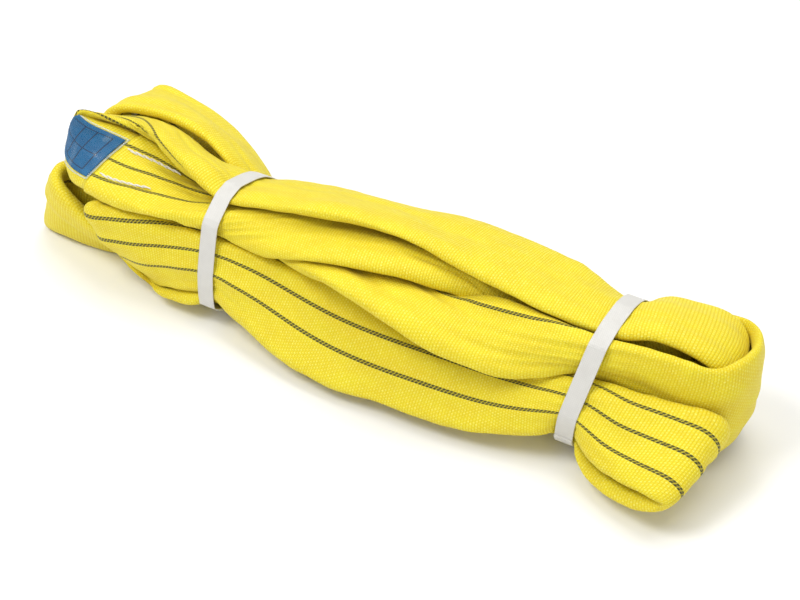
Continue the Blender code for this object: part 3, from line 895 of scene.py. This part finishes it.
# ---- materials
class Nodes:
    """Short forms for building a node material."""

    def __init__(self, name):
        self.material = bpy.data.materials.new(name)
        self.material.use_nodes = True
        self.tree = self.material.node_tree
        self.shader = self.tree.nodes["Principled BSDF"]

    def link(self, value, socket):
        if isinstance(value, (int, float)):
            socket.default_value = value
        elif isinstance(value, tuple):
            socket.default_value = (*value, 1.0)
        else:
            self.tree.links.new(value, socket)

    def math(self, kind, a, b=0.0, c=0.0):
        node = self.tree.nodes.new("ShaderNodeMath")
        node.operation = kind
        for value, socket in zip((a, b, c), node.inputs):
            self.link(value, socket)
        return node.outputs[0]

    def times(self, a, b):
        return self.math("MULTIPLY", a, b)

    def minus(self, a, b):
        return self.math("SUBTRACT", a, b)

    def size(self, a):
        return self.math("ABSOLUTE", a)

    def fit(self, a, scale, base):
        """a times scale, plus base."""
        return self.math("MULTIPLY_ADD", a, scale, base)

    def wave(self, a, pitch):
        return self.math("SINE", self.times(a, math.pi / pitch))

    def mix(self, share, low, high):
        node = self.tree.nodes.new("ShaderNodeMix")
        node.data_type = "RGBA"
        for value, key in ((share, 0), (low, 6), (high, 7)):
            self.link(value, node.inputs[key])
        return node.outputs[2]

    def uv(self):
        node = self.tree.nodes.new("ShaderNodeUVMap")
        node.uv_map = "UVMap"
        split = self.tree.nodes.new("ShaderNodeSeparateXYZ")
        self.tree.links.new(node.outputs[0], split.inputs[0])
        return split.outputs[0], split.outputs[1]

    def combine(self, x, y):
        node = self.tree.nodes.new("ShaderNodeCombineXYZ")
        for value, socket in zip((x, y), node.inputs):
            self.link(value, socket)
        return node.outputs[0]

    def noise(self, vector, scale, detail):
        node = self.tree.nodes.new("ShaderNodeTexNoise")
        node.inputs["Scale"].default_value = scale
        node.inputs["Detail"].default_value = detail
        self.tree.links.new(vector, node.inputs["Vector"])
        return node.outputs["Fac"]

    def object_noise(self, scale, detail):
        node = self.tree.nodes.new("ShaderNodeTexCoord")
        return self.noise(node.outputs["Object"], scale, detail)

    def step(self, value, low, high):
        """0 below low, 1 above high, and a smooth ramp between."""
        node = self.tree.nodes.new("ShaderNodeMapRange")
        node.interpolation_type = "SMOOTHSTEP"
        self.link(value, node.inputs["Value"])
        node.inputs["From Min"].default_value = low
        node.inputs["From Max"].default_value = high
        return node.outputs[0]

    def fade(self, value, low, high):
        """1 below low, 0 above high."""
        return self.minus(1.0, self.step(value, low, high))

    def bump(self, height, distance, strength):
        node = self.tree.nodes.new("ShaderNodeBump")
        node.inputs["Strength"].default_value = strength
        node.inputs["Distance"].default_value = distance
        self.tree.links.new(height, node.inputs["Height"])
        self.put(Normal=node.outputs[0])

    def put(self, **values):
        """Set or link the shader's inputs."""
        for key, value in values.items():
            self.link(value, self.shader.inputs[key.replace("_", " ")])


# Distance between the weave's ribs along the loop, and between its dots round the girth
RIB = 1.85 * MM
DOT = GIRTH / 128.0 * MM
YELLOW = (0.79, 0.668, 0.010)
# Pale yellow: the weft's pale flecks, and painted highlight on the raised rib tops
PALE_YELLOW = (0.90, 0.85, 0.17)
# Deep yellow: a darker tone at random, and painted shade in the weave's grooves
DEEP_YELLOW = (0.68, 0.455, 0.002)
STRIPE_DARK = (0.035, 0.036, 0.012)
# Half the distance between a stripe's two lines, and the slant of their dashes: pitch along and across
LINE_OFFSET = 0.72 * MM
DASH_PITCH = (1.3 * MM, 1.8 * MM)
EMBOSS_PITCH = 1.5 * MM


def stripe_masks(n, u, v):
    """Three woven stripes, each a pair of lines of slanted dashes: their colour and their relief."""
    past_half = n.math("GREATER_THAN", v, GIRTH / 2.0 * MM)
    signed = n.minus(v, n.times(past_half, GIRTH * MM))
    side = n.size(signed)
    outer = n.math("GREATER_THAN", side, STRIPE_OFFSET / 2.0 * MM)
    from_middle = n.size(n.minus(side, n.times(outer, STRIPE_OFFSET * MM)))
    line = n.fade(n.size(n.minus(from_middle, LINE_OFFSET)), 0.50 * MM, 0.75 * MM)
    phase = n.fit(u, math.pi / DASH_PITCH[0], n.times(signed, math.pi / DASH_PITCH[1]))
    dash = n.step(n.math("SINE", phase), -0.75, -0.25)
    between = n.fade(from_middle, 1.15 * MM, 1.45 * MM)
    stripe = n.math("MAXIMUM", n.times(line, n.fit(dash, 0.55, 0.42)), n.times(between, 0.45))
    return stripe, n.times(line, dash)


def cover_material():
    n = Nodes("cover_weave")
    u, v = n.uv()
    rib, dot = n.wave(u, RIB), n.wave(v, DOT)
    weave = n.times(n.math("POWER", n.size(rib), 0.6), n.fit(n.size(dot), 0.4, 0.6))
    weave = n.fit(n.times(rib, dot), 0.3, weave)

    # Colour: slow variation at random, pale flecks along the weft kept to the rib tops with painted
    # highlight, and painted shade in deep yellow in the grooves between the ribs
    slow = n.noise(n.combine(u, n.times(v, 1.6)), 45.0, 3.0)
    fleck = n.noise(n.combine(n.times(u, 0.75 / RIB), n.times(v, 320.0)), 1.0, 1.0)
    colour = n.mix(n.step(slow, 0.3, 0.75), DEEP_YELLOW, YELLOW)
    colour = n.mix(0.35, YELLOW, colour)
    # Pale flecks along the weft, kept to the raised rib tops: pale yarn and painted highlight together
    ridge = n.times(n.step(weave, 0.45, 1.0), n.fit(n.step(fleck, 0.35, 0.8), 0.55, 0.25))
    colour = n.mix(ridge, colour, PALE_YELLOW)
    # Painted shade: the grooves between the ribs are darkened toward deep yellow
    colour = n.mix(n.times(n.fade(weave, 0.1, 0.75), 0.5), colour, DEEP_YELLOW)
    stripe, dashes = stripe_masks(n, u, v)
    fuzz = n.object_noise(900.0, 2.0)
    n.put(Base_Color=n.mix(stripe, colour, STRIPE_DARK), Roughness=n.fit(fuzz, 0.16, 0.52))
    n.bump(n.fit(dashes, 0.35, n.fit(fuzz, 0.25, weave)), 0.27 * MM, 1.0)
    n.put(Sheen_Weight=0.18, Sheen_Roughness=0.4, Specular_IOR_Level=0.32, Sheen_Tint=(1.0, 0.9, 0.4))
    return n.material


def thread_material():
    n = Nodes("sewing_thread")
    twist = n.object_noise(1400.0, 2.0)
    n.put(Base_Color=n.mix(twist, (0.86, 0.84, 0.76), (0.60, 0.58, 0.50)), Roughness=0.6, Sheen_Weight=0.2)
    n.bump(twist, 0.15 * MM, 0.7)
    return n.material


def core_material():
    n = Nodes("core_yarn")
    u, v = n.uv()
    strand = n.size(n.wave(v, 1.5 * MM))
    uneven = n.noise(n.combine(n.times(u, 30.0), n.times(v, 900.0)), 1.0, 2.0)
    # Painted shade: the yarn is darker grey between its strands and lighter on their tops
    n.put(Base_Color=n.mix(strand, (0.62, 0.61, 0.57), (0.86, 0.85, 0.82)), Roughness=0.7)
    n.bump(n.math("ADD", strand, uneven), 0.5 * MM, 0.8)
    return n.material


def strap_material():
    n = Nodes("strap_plastic")
    u, v = n.uv()
    diagonals = [n.size(n.wave(n.math(kind, u, v), EMBOSS_PITCH)) for kind in ("ADD", "SUBTRACT")]
    emboss = n.math("MINIMUM", *diagonals)
    cloud = n.object_noise(120.0, 3.0)
    colour = n.mix(cloud, (0.60, 0.585, 0.545), (0.70, 0.69, 0.65))
    # Painted shade: the embossed grooves are darkened
    colour = n.mix(n.times(n.minus(1.0, emboss), 0.3), colour, (0.46, 0.45, 0.42))
    n.put(Base_Color=colour, Roughness=n.fit(cloud, 0.15, 0.36), Specular_IOR_Level=0.4)
    n.bump(n.step(emboss, 0.1, 0.6), 0.12 * MM, 0.6)
    return n.material


def ruled(n, value, places, width, low, high, other):
    """1 on thin lines where value is at one of the places, as long as other lies between low and high."""
    length = n.times(n.step(other, low, low + 0.001), n.fade(other, high, high + 0.001))
    rows = [n.times(n.fade(n.size(n.minus(value, at)), width * 0.6, width), length) for at in places]
    return n.math("MAXIMUM", n.math("MAXIMUM", rows[0], rows[1]), rows[2])


def label_material():
    n = Nodes("label_print")
    u, v = n.uv()
    rows = ruled(n, u, (0.16, 0.42, 0.64), 0.014, 0.10, 0.90, v)
    columns = ruled(n, v, (0.10, 0.46, 0.90), 0.013, 0.16, 0.90, u)
    lines = n.math("MAXIMUM", rows, columns)
    colour = n.mix(n.object_noise(160.0, 3.0), (0.001, 0.068, 0.19), (0.004, 0.135, 0.31))
    colour = n.mix(n.times(lines, 0.9), colour, (0.006, 0.02, 0.06))
    n.put(Base_Color=colour, Roughness=0.55, Specular_IOR_Level=0.25)
    n.bump(n.object_noise(500.0, 2.0), 0.2 * MM, 0.3)
    return n.material


def film_material():
    n = Nodes("clear_film")
    cloud = n.object_noise(90.0, 3.0)
    from_edge = [n.minus(0.5, n.size(n.minus(value, 0.5))) for value in n.uv()]
    weld = n.fade(n.math("MINIMUM", *from_edge), 0.015, 0.035)
    # Cloudy pale patches in the film's tint: its own milky haze and painted reflection together
    haze_and_reflection = n.fit(n.step(cloud, 0.5, 0.7), 0.07, 0.02)
    n.put(Base_Color=(0.62, 0.72, 0.70), Alpha=n.fit(weld, 0.35, haze_and_reflection))
    n.bump(cloud, 1.2 * MM, 0.5)
    n.put(Roughness=0.1, Specular_IOR_Level=0.5, Coat_Weight=0.25, Coat_Roughness=0.05)
    return n.material


def floor_material():
    n = Nodes("floor")
    colour = n.mix(n.object_noise(6.0, 2.0), (0.86, 0.86, 0.86), (0.90, 0.90, 0.90))
    n.put(Base_Color=colour, Roughness=0.7, Specular_IOR_Level=0.1)
    return n.material


# ---- camera, floor and light
AZIMUTH = math.radians(30.5)
ELEVATION = math.radians(38.0)
DISTANCE = 1.2
LENS = 84.4
LENS_SHIFT = (-0.0025, -0.00375)


def add_camera(target):
    back = Vector((math.sin(AZIMUTH) * math.cos(ELEVATION), -math.cos(AZIMUTH) * math.cos(ELEVATION),
                   math.sin(ELEVATION)))
    data = bpy.data.cameras.new("camera")
    data.lens = LENS
    data.sensor_width = 36.0
    data.shift_x, data.shift_y = LENS_SHIFT
    camera = show("camera", data)
    camera.location = target + back * DISTANCE
    camera.rotation_euler = back.to_track_quat("Z", "Y").to_euler()
    bpy.context.scene.camera = camera


def add_area(name, location, target, size, power):
    data = bpy.data.lights.new(name, "AREA")
    data.shape = "RECTANGLE"
    data.size, data.size_y = size
    data.energy = power
    light = show(name, data)
    light.location = location
    light.rotation_euler = (Vector(location) - target).to_track_quat("Z", "Y").to_euler()


def add_studio(target):
    """A plain pale floor, three soft lights and an even white surround."""
    mesh = bmesh.new()
    bmesh.ops.create_grid(mesh, x_segments=2, y_segments=2, size=6.0)
    data = bpy.data.meshes.new("floor")
    mesh.to_mesh(data)
    mesh.free()
    data.materials.append(floor_material())
    floor = show("floor", data)
    floor.location = (0.0, 0.0, -0.0004)
    add_area("key", (-0.7, -0.9, 1.9), target, (0.9, 0.9), 24.0)
    add_area("fill", (1.6, -1.4, 0.9), target, (1.4, 1.0), 5.0)
    add_area("top", (0.2, 0.6, 2.1), target, (2.0, 1.4), 26.0)
    world = bpy.data.worlds.new("studio")
    world.use_nodes = True
    background = world.node_tree.nodes["Background"]
    background.inputs[0].default_value = (1.0, 1.0, 1.0, 1.0)
    background.inputs[1].default_value = 0.55
    bpy.context.scene.world = world
    bpy.context.scene.view_settings.view_transform = "Standard"


# ---- main
def dress(piece, material, slot, *nodes):
    """Finish a piece: faces outward, its material, and the CAD nodes it stands for hidden; the slot is not
    used.
    """
    outward_faces(piece)
    piece.data.materials.append(material)
    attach(piece, "root")
    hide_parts(*nodes)


def main():
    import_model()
    route = Route()
    shift = cad_shift(route)
    target = Vector(shift * MM) + Vector((0.0, 0.0, 0.045))
    add_camera(target)
    add_studio(target)

    cloth = Cover(route)
    cloth.relax(240, 40)
    x = even_out(cloth.x, 4)
    fine = refine(refine(x, 0), 1)
    room = np.clip(refine(refine(cloth.room(x), 0), 1), 0.0, 1.0)
    fine = add_wrinkles(fine, cloth.spacing / 2.0, refine(cloth.turn, 0), room)
    surface = Surface(fine + shift, route.length)
    seam = route.place_near(SEAM_PASS, SEAM_START_X) - SEAM_DRAWN_BACK
    hem = seam + SEAM_OVERLAP

    cover = build_cover(surface, seam)
    dress(cover, cover_material(), "cover", "cover_sleeve")
    core = build_core(x + shift)
    dress(core, core_material(), "core_yarn", "core_yarn_hank")

    thread = thread_material()
    for name, round_at in STITCH_ROWS.items():
        row = build_stitches(name + "_rows", surface, seam + 2.0, hem - 4.0, round_at)
        dress(row, thread, "thread", name)

    start = hem + LABEL_SETBACK
    label = sheet_on("label_sheet", surface, start, LABEL_LENGTH, LABEL_WIDTH, *LABEL_LIFT)
    dress(label, label_material(), "label", "identification_label")
    film = sheet_on("film_sheet", surface, start - FILM_MARGIN, LABEL_LENGTH + 2 * FILM_MARGIN,
                    LABEL_WIDTH + 2 * FILM_MARGIN, *FILM_LIFT)
    dress(film, film_material(), "film", "label_film_pocket")

    strap_look = strap_material()
    for name, (at, lean) in STRAPS.items():
        strap = build_strap(name + "_strap", fine, at, lean)
        strap.data.transform(Matrix.Translation(Vector(shift * MM)))
        dress(strap, strap_look, "tie_band", name)


main()
